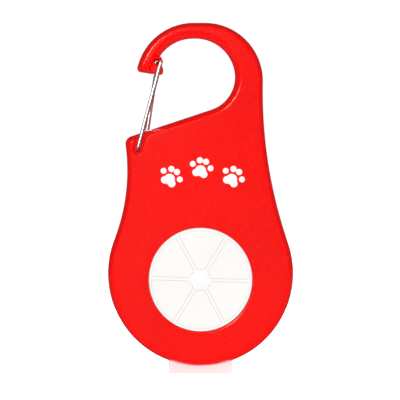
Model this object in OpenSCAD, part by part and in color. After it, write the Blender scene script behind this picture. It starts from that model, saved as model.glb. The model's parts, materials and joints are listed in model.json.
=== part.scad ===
// Clicker trainer: a palm-sized dog-training clicker in a flat pear-shaped case with its own snap hook.
// A large round button in the front works a spring-steel leaf inside; a wire gate closes the hook;
// a name tab slides out of the bottom edge.
// Frame: X to the right, Y from the front face to the back face, Z up along the case.
// The origin is the centre of the round lower body, on the flat back face.

/* [Case] */
// Thickness of the closed case, front face to back face
case_depth = 12; // [10:0.5:16]
// Radius of the round lower body
body_r = 25; // [23:0.5:31]
// Wall left round the inside, measured in from the outline
wall_side = 3.4; // [3:0.1:4.2]
// Wall behind the front face
wall_front = 1.6; // [1.2:0.1:2.2]
// Wall before the back face
wall_back = 1.8; // [1.6:0.1:2.4]
// Top of the hollow inside, above the body centre
hollow_top = 26.5; // [20:0.5:28]
// How far the edge band leans in, from the parting line to the flat face
edge_in = 1.9; // [1.2:0.1:2]
// Radius where the band meets the flat face
edge_r = 0.8; // [0.4:0.1:1.2]
// Radius of the concave left flank
left_flank_r = 51.2; // [40:0.5:70]
// Direction of the left flank's centre, seen from the body centre
left_flank_angle = 158.7; // [155:0.1:162]
// Radius of the concave right flank
right_flank_r = 125; // [100:1:160]
// Radius of the shoulder corner beside the gate
shoulder_r = 2.2; // [1:0.1:4]

/* [Hook] */
// Outer radius of the hook
hook_r = 15.7; // [14:0.1:18]
// Height of the hook's outer centres above the body centre
hook_z = 51.85; // [48:0.5:60]
// Outer centre of the hook's left half
hook_left_x = -1.8; // [-3:0.1:0]
// Outer centre of the hook's right half
hook_right_x = 1.15; // [0:0.05:3]
// Inner radius of the hook
opening_r = 10.72; // [9:0.1:11.4]
// Height of the opening's centres above the hook's outer centres
opening_up = 0.75; // [0:0.05:1.5]
// Inner centre of the opening's left half
opening_left_x = -2.03; // [-3:0.01:-1]
// Inner centre of the opening's right half
opening_right_x = -1.4; // [-2:0.1:0]
// Radius at the lower right of the opening
opening_low_r = 9.28; // [7:0.1:9.4]
// Slope of the opening's lower edge
sill_angle = 18.35; // [12:0.1:24]
// Drop of the lower edge below the opening's centres, on the centre line
sill_drop = 9.43; // [9:0.1:12]
// Rise of the nose's end face above the hook's outer centres, at the middle of the nose
nose_rise = 2.1; // [1:0.1:5]
// Middle of the nose
nose_x = -14.4; // [-16:0.1:-13]
// Slope of the nose's end face
nose_angle = 9; // [0:0.5:15]
// Radius of the nose's outer corner
nose_r = 1.0; // [0.4:0.1:1.6]
// Radius of the nose's inner corner
nose_inner_r = 0.4; // [0.2:0.1:0.8]

/* [Gate] */
// Diameter of the gate's wire
wire_d = 1.1; // [0.9:0.05:1.4]
// Radial play of the wire's front end in its hole
wire_play = 0.06; // [0.03:0.01:0.1]
// Front pivot, to the right of the body centre
pivot_x = -16.83; // [-18:0.1:-15]
// Front pivot, below the hook's outer centres
pivot_drop = 18.68; // [17:0.1:21]
// Rear pivot, to the right of the front one
rear_pivot_dx = 1.5; // [0:0.1:2]
// Front top bend of the wire, to the right of the front pivot
gate_run = 6.29; // [5:0.1:8]
// Front top bend of the wire, above the front pivot
gate_rise = 23.75; // [22:0.1:26]
// Rear top bend, to the left of the front one
gate_skew = 1.2; // [0:0.1:2]
// How far the wire's middle line lies under the face of the case
wire_sink = 0.75; // [0.6:0.05:1]
// Depth of the pockets that the wire lies in
pocket_depth = 1.6; // [1.4:0.1:2]
// Radius of the pocket's round end
pocket_r = 1.3; // [1.2:0.1:2]
// Opening angle of the gate
gate_angle = 16; // [8:1:20]
// Length of the wire's bent ends inside the case
wire_end = 2.6; // [1.5:0.1:3.2]
// Bend radius of the wire
wire_bend = 1.0; // [0.7:0.1:1.6]

/* [Button] */
// Radius of the button's face
button_r = 13.85; // [10:0.1:15]
// Radial gap between the button and its hole
button_gap = 0.1; // [0.1:0.05:0.3]
// Button centre below the body centre
button_drop = 1.55; // [0:0.05:3]
// How far the button's face lies under the case face
button_sink = 0.3; // [0:0.05:0.8]
// Thickness of the button's face plate
button_plate = 1.7; // [1.3:0.1:2]
// Travel of the button
button_travel = 1.4; // [0.8:0.1:1.5]
// How far the button's flange reaches out behind the case
flange_out = 1.35; // [0.8:0.05:2]
// Rounding of the button hole's rim
rim_r = 0.6; // [0.2:0.1:0.9]
// Width of the ribs between the pads
rib_w = 0.88; // [0.6:0.02:1.4]
// Width of the ring round the pads
ring_w = 0.73; // [0.5:0.01:1.4]
// Turn of the ribs
rib_turn = -1.7; // [-30:0.1:30]
// Number of pads
pad_count = 6; // [3:1:8]
// Rounding of the pads' inner corners
pad_inner_r = 0.8; // [0.3:0.1:1.2]
// Rounding of the pads' outer corners
pad_outer_r = 0.3; // [0.2:0.1:0.8]
// From the button's centre to the pads' inner ends
pad_hub = 2.75; // [2:0.05:5]
// Height of the pads above the ribs
pad_proud = 0.06; // [0.04:0.01:0.3]
// Depth of the seats that the pads are bonded into
pad_seat = 0.5; // [0.3:0.05:0.8]

/* [Click mechanism] */
// Thickness of the spring-steel leaf
leaf_t = 0.35; // [0.2:0.05:0.5]
// Width of the leaf
leaf_w = 10.8; // [8:0.2:11]
// From the button's centre line to the leaf's root line
leaf_root = 15.2; // [14:0.1:15.4]
// From the button's centre line to the leaf's free end
leaf_free = 12; // [10:0.1:12.4]
// Radius of the plunger
plunger_r = 2.2; // [1.6:0.1:3]
// Thickness of the carrier's base
carrier_t = 1.2; // [1:0.1:1.4]
// Thickness of the strike plate
strike_t = 0.6; // [0.4:0.1:0.8]

/* [Name tab] */
// Width of the tab
tab_w = 17.6; // [12:0.2:18.4]
// Thickness of the tab
tab_t = 1.2; // [0.8:0.1:1.3]
// How far the tab shows below the case
tab_show = 2.45; // [1:0.05:5]
// How far the tab slides out
tab_travel = 9; // [5:0.5:9.4]
// Side play of the tab
tab_play = 0.25; // [0.15:0.05:0.4]

/* [Fasteners] */
// Diameter of the case screws' threads
screw_d = 2.2; // [1.6:0.1:2.4]
// Diameter of the case screws' heads
screw_head_d = 4.2; // [3.6:0.1:4.6]
// Diameter of the small inner screws' threads
small_screw_d = 1.4; // [1:0.1:1.6]

/* [Hidden] */
$fn = 64;
over = 0.5;               // how far a cutter runs past what it cuts
touch = 0.05;             // gap between hard faces that only just clear
hairline = 0.02;          // how far inner walls stay back from the parting plane

half_depth = case_depth / 2;
front_y = -case_depth;
inner_front_y = front_y + wall_front;
inner_back_y = -wall_back;
wire_r = wire_d / 2;

// ---- outline of the case ----
// Every function takes the inset d, so one outline serves the edge band and the flat face.
// Points are [x, z] and run anticlockwise, seen from the front.
sharp = 0.05;             // smallest corner radius left when an inset passes a corner's own radius
opening_z = hook_z + opening_up;
sill_z = opening_z - sill_drop;
sill_dir = [cos(sill_angle), sin(sill_angle)];
sill_up = [-sin(sill_angle), cos(sill_angle)];
nose_dir = [cos(nose_angle), -sin(nose_angle)];
nose_up = [sin(nose_angle), cos(nose_angle)];
nose_point = [nose_x, hook_z + nose_rise];
hook_left = [hook_left_x, hook_z];
hook_right = [hook_right_x, hook_z];
opening_left = [opening_left_x, opening_z];
opening_right = [opening_right_x, opening_z];
flank_left = (body_r + left_flank_r) * [cos(left_flank_angle), sin(left_flank_angle)];

function heading(from, to) = atan2(to[1] - from[1], to[0] - from[0]);
// The same angle counted from 0 to 360
function whole(a) = a < 0 ? a + 360 : a;
function arc(centre, r, a0, a1, n) =
    [for (i = [0:n]) let (a = a0 + (a1 - a0) * i / n) centre + r * [cos(a), sin(a)]];
// The same arc without its last point, for where the next arc starts there
function open_arc(centre, r, a0, a1, n) =
    [for (i = [0:n - 1]) let (a = a0 + (a1 - a0) * i / n) centre + r * [cos(a), sin(a)]];
// The point at height h over a line (through p, direction dir, normal up) and at distance r from c,
// on the side of c that side gives
function on_line_and_circle(p, dir, up, h, c, r, side) =
    let (rise = h - up * (c - p))
    c + side * sqrt(r * r - rise * rise) * dir + rise * up;
// The right flank's centre touches both the body circle and the hook's right circle from outside
function flank_right_centre() =
    let (a = body_r + right_flank_r, b = hook_r + right_flank_r, gap = norm(hook_right))
    let (along = (a * a - b * b + gap * gap) / (2 * gap), off = sqrt(a * a - along * along))
    let (u = hook_right / gap)
    along * u + off * [u[1], -u[0]];
flank_right = flank_right_centre();
// The opening's lower right arc touches the sill and the opening's right arc from inside
opening_low = on_line_and_circle([0, sill_z], sill_dir, sill_up, opening_low_r,
    opening_right, opening_r - opening_low_r, 1);

function shoulder(t) = on_line_and_circle([0, sill_z], sill_dir, sill_up, -t,
    flank_left, left_flank_r + t, 1);
function nose_outer(t) = on_line_and_circle(nose_point, nose_dir, nose_up, t,
    hook_left, hook_r - t, -1);
function nose_inner(t) = on_line_and_circle(nose_point, nose_dir, nose_up, t,
    opening_left, opening_r + t, -1);

function outline(d) =
    let (ps = shoulder(max(shoulder_r, d)), rs = max(shoulder_r - d, sharp))
    let (po = nose_outer(max(nose_r, d)), ro = max(nose_r - d, sharp))
    let (pi_ = nose_inner(max(nose_inner_r, d)), ri = max(nose_inner_r - d, sharp))
    let (body_end = 360 + heading([0, 0], flank_right))
    let (nose_down = 270 - nose_angle)
    concat(
        open_arc([0, 0], body_r - d, left_flank_angle, body_end, 36),
        open_arc(flank_right, right_flank_r + d, body_end - 180, whole(heading(flank_right, hook_right)), 8),
        arc(hook_right, hook_r - d, whole(heading(flank_right, hook_right)) - 180, 90, 12),
        open_arc(hook_left, hook_r - d, 90, whole(heading(hook_left, po)), 12),
        arc(po, ro, whole(heading(hook_left, po)), nose_down, 4),
        open_arc(pi_, ri, nose_down, 360 + heading(pi_, opening_left), 3),
        arc(opening_left, opening_r + d, whole(heading(opening_left, pi_)), 90, 10),
        open_arc(opening_right, opening_r + d, 90, heading(opening_right, opening_low), 10),
        arc(opening_low, opening_low_r + d, heading(opening_right, opening_low), sill_angle - 90, 10),
        open_arc(ps, rs, 90 + sill_angle, whole(heading(ps, flank_left)), 5),
        open_arc(flank_left, left_flank_r + d, heading(flank_left, ps), heading(flank_left, [0, 0]), 8)
    );

// The lower part of the outline alone, cut straight across at z = top
function lower_outline(d, top) =
    let (right_r = right_flank_r + d, left_r = left_flank_r + d)
    let (right_a = 180 - asin((top - flank_right[1]) / right_r))
    let (left_a = asin((top - flank_left[1]) / left_r))
    let (body_end = 360 + heading([0, 0], flank_right))
    concat(
        open_arc([0, 0], body_r - d, left_flank_angle, body_end, 36),
        arc(flank_right, right_r, body_end - 180, right_a, 6),
        open_arc(flank_left, left_r, left_a, heading(flank_left, [0, 0]), 6)
    );

// ---- edge band ----
// Insets and heights over the parting plane, from the parting line to the flat face
band_slope = 25;          // lean of the band where the rounding starts, in degrees
side_h = half_depth - edge_r * (1 - sin(band_slope));
side_lean = edge_in - edge_r * cos(band_slope);
band = concat(
    [for (i = [0:2]) let (f = i / 2) [side_lean * f * f, side_h * f]],
    [for (i = [1:3]) let (a = band_slope + (90 - band_slope) * i / 3)
        [edge_in - edge_r * cos(a), half_depth - edge_r + edge_r * sin(a)]]
);

// Triangles that fill an outline with hollows in it, found by clipping one corner after another
function turn(a, b, c) = (b[0] - a[0]) * (c[1] - a[1]) - (b[1] - a[1]) * (c[0] - a[0]);
function covers(a, b, c, p) = turn(a, b, p) >= 0 && turn(b, c, p) >= 0 && turn(c, a, p) >= 0;
function is_ear(pts, left, k) =
    let (n = len(left), k0 = (k + n - 1) % n, k1 = (k + 1) % n)
    let (a = pts[left[k0]], b = pts[left[k]], c = pts[left[k1]])
    turn(a, b, c) > 0 &&
        len([for (j = [0:n - 1]) if (j != k && j != k0 && j != k1 && covers(a, b, c, pts[left[j]])) j]) == 0;
function next_ear(pts, left, k) = is_ear(pts, left, k) ? k : next_ear(pts, left, (k + 1) % len(left));
function clipped(pts, left, k, done) =
    len(left) == 3 ? concat(done, [left]) :
    let (n = len(left), e = next_ear(pts, left, k % n))
    clipped(pts, [for (j = [0:n - 1]) if (j != e) left[j]], e + 1,
        concat(done, [[left[(e + n - 1) % n], left[e], left[(e + 1) % n]]]));
function filled(pts) = clipped(pts, [for (i = [0:len(pts) - 1]) i], 0, []);

// One half of the case as a closed solid; toward is -1 for the front half and 1 for the rear half
module half_shell(toward) {
    rings = [for (b = band) outline(b[0])];
    n = len(rings[0]);
    last = len(rings) - 1;
    points = [for (k = [0:last]) for (p = rings[k]) [p[0], -half_depth + toward * band[k][1], p[1]]];
    parting = [for (t = filled(rings[0])) [t[2], t[1], t[0]]];
    face = [for (t = filled(rings[last])) last * [n, n, n] + t];
    sides = [for (k = [0:last - 1], i = [0:n - 1])
        [k * n + i, k * n + (i + 1) % n, (k + 1) * n + (i + 1) % n, (k + 1) * n + i]];
    faces = concat(parting, face, sides);
    polyhedron(points, toward > 0 ? faces : [for (f = faces) [for (i = [len(f) - 1:-1:0]) f[i]]],
        convexity = 10);
}

// ---- helpers ----
// A flat shape drawn in x and z, from y = from to y = to
module slab(from, to) {
    translate([0, to, 0])
        rotate([90, 0, 0])
            linear_extrude(height = to - from)
                children();
}
// A round bar along Y
module bar(x, z, r, from, to) {
    translate([x, from, z])
        rotate([-90, 0, 0])
            cylinder(r = r, h = to - from);
}
// A box from its two corners
module box(low, high) {
    translate(low)
        cube(high - low);
}

// ---- gate geometry ----
pivot = [pivot_x, hook_z - pivot_drop];
rear_pivot = pivot + [rear_pivot_dx, 0];
gate_top = pivot + [gate_run, gate_rise];
rear_top = gate_top - [gate_skew, 0];
leg_tilt = atan2(gate_run, gate_rise);
rear_tilt = atan2(rear_top[0] - rear_pivot[0], rear_top[1] - rear_pivot[1]);
wire_front_y = front_y + wire_sink;
wire_back_y = -wire_sink;
pocket_reach = 12;        // runs the pocket out through the sloping shoulder
// Where the rear end goes as the gate opens about the front end
rear_shift = [rear_pivot_dx * (cos(gate_angle) - 1), -rear_pivot_dx * sin(gate_angle)];

// Plan of a pocket: a slot along the leg at rest, widened to the right for the opened leg
module pocket_plan(at, tilt) {
    ahead = [sin(tilt), cos(tilt)];
    right = [cos(tilt), -sin(tilt)];
    opened = [sin(tilt + gate_angle), cos(tilt + gate_angle)];
    opened_right = [opened[1], -opened[0]];
    side = wire_r + 0.2;
    widens_at = (pocket_r - side * cos(gate_angle)) / sin(gate_angle);
    polygon(concat(
        arc(at, pocket_r, -180 - tilt, -tilt, 10),
        [at + pocket_r * right + widens_at * ahead],
        [at + side * opened_right + pocket_reach * opened],
        [at - pocket_r * right + pocket_reach * ahead]
    ));
}

// ---- catch on the nose ----
catch_gap = 0.4;          // gap between the catch's faces and the wire's legs
catch_right = gate_top[0] + 0.4;
catch_y = wire_sink + wire_r + catch_gap;
catch_root = nose_x + 1;
catch_low = nose_point[1] - 0.25;
horn_top = gate_top[1] + 1.25;
notch_r = wire_r + 0.12;  // radius of the notch that the wire's crossing part lies in
module catch_plan() {
    seat_top = gate_top[1] + wire_r + 0.1;
    seat_low = gate_top[1] - wire_r - 0.3;
    seat_left = rear_top[0] - wire_r - 0.15;
    polygon([
        [catch_root, catch_low + 0.6],
        [catch_right - 0.8, catch_low],
        [catch_right, catch_low + 0.9],
        [catch_right, seat_low - 0.6],
        [seat_left, seat_low + 0.1],
        [seat_left, seat_top],
        [catch_right - 0.3, seat_top],
        [catch_right - 0.3, horn_top - 0.2],
        [catch_right - 0.5, horn_top],
        [catch_root, horn_top]
    ]);
}

// ---- button geometry ----
button_z = -button_drop;
hole_r = button_r + button_gap;
flange_r = button_r + flange_out;
button_face_y = front_y + button_sink;
bumper_t = 0.4;
flange_front_y = inner_front_y + bumper_t + touch;
flange_t = 1.0;
cap_back_y = flange_front_y + flange_t;
plunger_stand = 1.15;     // room left behind the pressed cap, before the leaf
leaf_front_y = cap_back_y + button_travel + plunger_stand;
leaf_back_y = leaf_front_y + leaf_t;
plunger_gap = 0.1;        // rest gap between the plunger's tip and the leaf
socket_r = plunger_r + 0.9;
socket_depth = 0.9;

// ---- screw places ----
lower_boss_in = 8.4;      // from the outline to the lower bosses
lower_boss_x = body_r - lower_boss_in;
lower_boss_z = -10.9;
upper_boss_x = 12.2;
upper_boss_z = hollow_top - 4.2;
top_screw = [hook_right_x + 11.3, hook_z - 11.85];
case_screw_places = [[-lower_boss_x, lower_boss_z], [lower_boss_x, lower_boss_z],
    [-upper_boss_x, upper_boss_z], [upper_boss_x, upper_boss_z], top_screw];
boss_r = 2.1;
rear_boss_r = boss_r + 0.6;
head_h = 1.5;
head_seat = 0.6;          // depth of the head's top under the back face
screw_length = 8.2;
thread_play = 0.01;       // radial gap between a screw and its thread hole
small_clear = 0.1;         // radial gap round a small screw
rivet_gap = 0.02;          // room left past each end of a rivet
hole_end_gap = 0.2;       // room left past a case screw's tip
screw_clear = 0.15;       // radial gap of a screw in its clearance hole
head_clear = 0.2;         // radial gap of a screw head in its counterbore

// ---- name tab geometry ----
tab_bottom = -body_r - tab_show;
tab_gap = 0.3;            // gap between the tab and the back wall
tab_back_y = inner_back_y - tab_gap;
tab_front_y = tab_back_y - tab_t;
tab_head_w = tab_w + 2.8;
tab_head_h = 1.5;
// The tab's head stops on the hollow's wall, so its place follows the wall and the travel
tab_stop_z = -sqrt(pow(body_r - wall_side, 2) - pow(tab_head_w / 2, 2));
tab_head_z = tab_stop_z + tab_travel + 0.15;
tab_top = tab_head_z + tab_head_h;

// ---- carrier geometry ----
carrier_h = leaf_w + 0.9;
carrier_left = -leaf_root - 2.9;
carrier_right = leaf_free + 4.0;
carrier_front_y = inner_back_y - carrier_t;
root_block_right = -leaf_root + 0.6;
clamp_t = 1.0;
leaf_play = 0.15;         // gap between the leaf and the hard parts round its root
clamp_front_y = leaf_front_y - leaf_play - clamp_t;
strike_left = leaf_free - 3.2;
leaf_lead = 1.034;        // the leaf's turn keeps this much ahead of the plunger
leaf_turn = leaf_lead * atan(button_travel / leaf_root);
strike_gap = 0.12;        // gap left at the strike plate when the button is fully in
strike_front_y = leaf_back_y + (leaf_free + leaf_root) * sin(leaf_turn) + strike_gap;
strike_back_y = strike_front_y + strike_t;
rivet_x = strike_left + 1.6;
rivet_dz = 2.6;
rivet_r = 0.48;
rivet_play = 0.02;
rivet_root = 0.6;
carrier_screw_z = 3.6;
carrier_screw_front = [clamp_front_y, leaf_front_y - 0.1];
small_head_r = 1.25;
small_head_h = 0.7;
small_screw_bite = 1.1;   // how far the small screws go into the back wall
small_hole_end_y = -0.5;  // bottom of the small screws' holes
root_screw_in = 1.5;      // from the leaf's root line to the screws through the clamp
clamp_leg_in = 0.55;      // from the leaf's root line to the clamp's leg behind the leaf
carrier_screw_x = [-leaf_root - root_screw_in, leaf_free + 2.15];

// ---- case ----
module case_hollow(from, to) {
    slab(from, to)
        polygon(lower_outline(wall_side, hollow_top));
}

module front_case() {
    color([0.9, 0.02, 0.03])
    difference() {
        union() {
            difference() {
                half_shell(-1);
                case_hollow(inner_front_y, -half_depth + over);
            }
            slab(front_y + catch_y, -half_depth - hairline)
                catch_plan();
            for (p = case_screw_places)
                bar(p[0], p[1], boss_r, inner_front_y - 0.2, -half_depth - hairline);
        }
        // button hole and its rounded rim
        bar(0, button_z, hole_r, front_y - over, inner_front_y + over);
        translate([0, front_y, button_z])
            rotate([-90, 0, 0])
                rotate_extrude()
                    difference() {
                        translate([hole_r - over, -over])
                            square([over + rim_r, over + rim_r]);
                        translate([hole_r + rim_r, rim_r])
                            circle(r = rim_r);
                    }
        // notch in the nose, gate pocket and the wire's pivot hole
        bar(rear_top[0], rear_top[1], notch_r, front_y - over, -half_depth + over);
        slab(front_y - over, front_y + pocket_depth)
            pocket_plan(pivot, leg_tilt);
        bar(pivot[0], pivot[1], wire_r + wire_play, front_y - over, wire_front_y + wire_end + 0.3);
        // thread holes of the case screws
        for (p = case_screw_places)
            bar(p[0], p[1], screw_d / 2, -head_seat - head_h - screw_length - hole_end_gap,
                -half_depth + over);
    }
}

module rear_case() {
    color([0.85, 0.02, 0.03])
    difference() {
        union() {
            difference() {
                half_shell(1);
                case_hollow(-half_depth - over, inner_back_y);
            }
            slab(-half_depth + hairline, -catch_y)
                catch_plan();
            for (p = case_screw_places)
                bar(p[0], p[1], rear_boss_r, -half_depth + hairline, inner_back_y + 0.2);
        }
        // notch in the nose, gate pocket and the slot that the wire's rear end drops in
        bar(rear_top[0], rear_top[1], notch_r, -half_depth - over, over);
        slab(-pocket_depth, over)
            pocket_plan(rear_pivot, rear_tilt);
        for (f = [0, 0.5, 1])
            bar(rear_pivot[0] + f * rear_shift[0], rear_pivot[1] + f * rear_shift[1],
                wire_r + 0.15, wire_back_y - wire_end - 0.3, over);
        // counterbores and clearance holes of the case screws
        for (p = case_screw_places) {
            bar(p[0], p[1], screw_head_d / 2 + head_clear, -head_seat - head_h, over);
            bar(p[0], p[1], screw_d / 2 + screw_clear, -half_depth - over, -head_seat);
        }
        // slot for the name tab
        box([-tab_w / 2 - tab_play, tab_front_y - tab_play, -body_r - over],
            [tab_w / 2 + tab_play, tab_back_y + tab_play, -body_r + wall_side + 3]);
        // thread holes of the small screws
        for (x = carrier_screw_x, s = [-1, 1])
            bar(x, button_z + s * carrier_screw_z, small_screw_d / 2, inner_back_y - over,
                small_hole_end_y);
        for (s = [-1, 1])
            bar(s * guide_screw_x, guide_screw_z, small_screw_d / 2, inner_back_y - over, small_hole_end_y);
    }
}

// Pan-head screw along Y with a cross recess; its head's top is at y = top
module pan_screw(x, z, top, head_r, head_height, r, length) {
    difference() {
        union() {
            bar(x, z, head_r, top - head_height, top);
            bar(x, z, r, top - head_height - length, top - head_height);
        }
        for (a = [0, 90])
            translate([x, top, z])
                rotate([0, a, 0])
                    cube([head_r * 1.1, 1.4, head_r * 0.26], center = true);
    }
}

module case_screws() {
    color("silver")
    for (p = case_screw_places)
        pan_screw(p[0], p[1], -head_seat, screw_head_d / 2, head_h, screw_d / 2 - thread_play,
            screw_length);
}

// ---- button ----
// Plan of one pad: a slice between two ribs of even width, with a straight inner end
module pad_plan(grow) {
    outer = button_r - ring_w;
    step = 360 / pad_count;
    half = step / 2;
    // centre of the inner corner beside the rib at 0 degrees, and of the outer one
    inner_rise = rib_w / 2 + pad_inner_r;
    inner = [(pad_hub + pad_inner_r - inner_rise * sin(half)) / cos(half), inner_rise];
    reach = outer - pad_outer_r;
    side_a = asin((rib_w / 2 + pad_outer_r) / reach);
    far_inner = norm(inner) * [cos(step - atan2(inner[1], inner[0])),
        sin(step - atan2(inner[1], inner[0]))];
    polygon(concat(
        arc(far_inner, pad_inner_r + grow, step + 90, 180 + half, 5),
        arc(inner, pad_inner_r + grow, 180 + half, 270, 5),
        arc(reach * [cos(side_a), sin(side_a)], pad_outer_r + grow, 270, 360 + side_a, 4),
        arc([0, 0], outer + grow, side_a + 1, step - side_a - 1, 10),
        arc(reach * [cos(step - side_a), sin(step - side_a)], pad_outer_r + grow, step - side_a,
            step + 90, 4)
    ));
}
module all_pads(from, to, grow) {
    translate([0, 0, button_z])
        slab(from, to)
            for (i = [0:pad_count - 1])
                rotate(rib_turn + i * 360 / pad_count)
                    pad_plan(grow);
}

module button_cap() {
    color("white")
    difference() {
        union() {
            bar(0, button_z, button_r, button_face_y, cap_back_y);
            bar(0, button_z, flange_r, flange_front_y, cap_back_y);
        }
        all_pads(button_face_y - over, button_face_y + pad_seat, touch);
        // hollow behind the face plate, round the plunger's socket
        difference() {
            bar(0, button_z, button_r - 1.4, button_face_y + button_plate, cap_back_y + over);
            bar(0, button_z, socket_r, button_face_y, cap_back_y + over);
        }
        bar(0, button_z, plunger_r, cap_back_y - socket_depth, cap_back_y + over);
    }
}

module button_pads() {
    color([0.97, 0.96, 0.92])
    all_pads(button_face_y - pad_proud, button_face_y + pad_seat, 0);
}

module button_plunger() {
    tip_y = leaf_front_y - plunger_gap;
    color("ivory")
    union() {
        bar(0, button_z, plunger_r, cap_back_y - socket_depth, tip_y - 1.2);
        bar(0, button_z, plunger_r + 0.8, cap_back_y, cap_back_y + 0.6);
        // the crown that meets the leaf at one point
        intersection() {
            translate([0, tip_y - 3.4, button_z])
                sphere(r = 3.4);
            bar(0, button_z, plunger_r - 0.3, tip_y - 1.7, tip_y + 1);
        }
    }
}

module bumper_ring() {
    color([0.2, 0.2, 0.2])
    difference() {
        bar(0, button_z, flange_r + 0.2, inner_front_y, inner_front_y + bumper_t);
        bar(0, button_z, hole_r + 0.25, inner_front_y - over, inner_front_y + bumper_t + over);
    }
}

// ---- click mechanism ----
dimple_r = 3.1;
dimple_x = 4.6;
dimple_h = 0.4;
dimple_wall = 0.35;
root_notch_r = 1.5;       // radius of the notches in the leaf's root
root_tail = 0.4;          // how far the leaf runs past its root line
module click_leaf() {
    color("lightsteelblue")
    difference() {
        union() {
            box([-leaf_root - root_tail, leaf_front_y, button_z - leaf_w / 2],
                [leaf_free, leaf_back_y, button_z + leaf_w / 2]);
            bar(dimple_x, button_z, dimple_r, leaf_front_y + 0.1, leaf_back_y + dimple_h);
        }
        bar(dimple_x, button_z, dimple_r - dimple_wall, leaf_front_y - over,
            leaf_back_y + dimple_h - dimple_wall);
        // the root's notches, which the clamp's screws pass through
        for (s = [-1, 1])
            bar(carrier_screw_x[0], button_z + s * carrier_screw_z, root_notch_r, leaf_front_y - over,
                leaf_back_y + over);
    }
}

module leaf_carrier() {
    low = button_z - carrier_h / 2;
    high = button_z + carrier_h / 2;
    color("dimgray")
    difference() {
        union() {
            box([carrier_left, carrier_front_y, low], [carrier_right, inner_back_y, high]);
            // root block, whose front edge the leaf rocks on
            box([carrier_left, leaf_back_y + leaf_play, low], [root_block_right, carrier_front_y, high]);
            // free-end post with a lip over the leaf
            box([leaf_free + 0.3, leaf_front_y - 0.9, low], [carrier_right, carrier_front_y, high]);
            box([leaf_free - 1.2, leaf_front_y - 0.9, low], [leaf_free + 0.3, leaf_front_y - 0.1, high]);
            // block under the strike plate
            box([strike_left - 0.6, strike_back_y - 0.1, low], [leaf_free + 0.4, inner_back_y, high]);
        }
        // seat of the strike plate
        box([strike_left - touch, strike_front_y - over, button_z - leaf_w / 2 - touch],
            [leaf_free + 0.3, strike_back_y, button_z + leaf_w / 2 + touch]);
        for (x = carrier_screw_x, s = [-1, 1])
            bar(x, button_z + s * carrier_screw_z, small_screw_d / 2 + small_clear, leaf_front_y - 3,
                inner_back_y + over);
        // the free end's screw heads are let into the post
        for (s = [-1, 1])
            bar(carrier_screw_x[1], button_z + s * carrier_screw_z, small_head_r + 0.1, leaf_front_y - 3,
                carrier_screw_front[1]);
        for (s = [-1, 1])
            bar(rivet_x, button_z + s * rivet_dz, rivet_r + rivet_play, strike_front_y,
                strike_back_y + rivet_root);
    }
}

module leaf_clamp() {
    low = button_z - carrier_h / 2;
    high = button_z + carrier_h / 2;
    color("slategray")
    difference() {
        union() {
            box([carrier_left, clamp_front_y, low], [root_block_right, leaf_front_y - leaf_play, high]);
            box([carrier_left, clamp_front_y, low],
                [-leaf_root - clamp_leg_in, leaf_back_y + leaf_play, high]);
        }
        for (s = [-1, 1])
            bar(carrier_screw_x[0], button_z + s * carrier_screw_z, small_screw_d / 2 + small_clear,
                clamp_front_y - over, leaf_back_y + over);
    }
}

module strike_plate() {
    color("silver")
    difference() {
        box([strike_left, strike_front_y, button_z - leaf_w / 2],
            [leaf_free + 0.25, strike_back_y, button_z + leaf_w / 2]);
        for (s = [-1, 1])
            bar(rivet_x, button_z + s * rivet_dz, rivet_r + rivet_play, strike_front_y - over,
                strike_back_y + over);
    }
}

module strike_rivets() {
    color("goldenrod")
    for (s = [-1, 1])
        bar(rivet_x, button_z + s * rivet_dz, rivet_r, strike_front_y + rivet_gap,
            strike_back_y + rivet_root - rivet_gap);
}

// Small flat-topped screw along Y; its head's underside is at y = seat
module small_screw(x, z, seat, length) {
    bar(x, z, small_head_r, seat - small_head_h, seat);
    bar(x, z, small_screw_d / 2 - thread_play, seat, seat + length);
}
module carrier_screws() {
    color("silver")
    for (k = [0, 1], s = [-1, 1])
        small_screw(carrier_screw_x[k], button_z + s * carrier_screw_z, carrier_screw_front[k],
            inner_back_y + small_screw_bite - carrier_screw_front[k]);
}

// ---- gate ----
// A corner of the wire's path, rounded over the bend radius
function bend(a, b, c, r, n) =
    let (u = (a - b) / norm(a - b), v = (c - b) / norm(c - b))
    let (p = b + r * u, q = b + r * v)
    [for (i = [0:n]) let (t = i / n) (1 - t) * (1 - t) * p + 2 * t * (1 - t) * b + t * t * q];
// A tube of round section along a path that stays near the plane with this normal
module tube(path, r, normal, sides) {
    n = len(path);
    ahead = [for (i = [0:n - 1])
        let (d = path[min(i + 1, n - 1)] - path[max(i - 1, 0)]) d / norm(d)];
    rings = [for (i = [0:n - 1])
        let (u0 = normal - (normal * ahead[i]) * ahead[i], u = u0 / norm(u0), v = cross(ahead[i], u))
        [for (k = [0:sides - 1]) let (a = 360 * k / sides) path[i] + r * (cos(a) * u + sin(a) * v)]];
    points = [for (ring = rings) each ring];
    walls = [for (i = [0:n - 2], k = [0:sides - 1])
        [i * sides + k, i * sides + (k + 1) % sides, (i + 1) * sides + (k + 1) % sides,
            (i + 1) * sides + k]];
    start = [for (k = [sides - 1:-1:0]) k];
    end = [for (k = [0:sides - 1]) (n - 1) * sides + k];
    polyhedron(points, [for (f = concat([start, end], walls)) [for (i = [len(f) - 1:-1:0]) f[i]]],
        convexity = 10);
}
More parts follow.
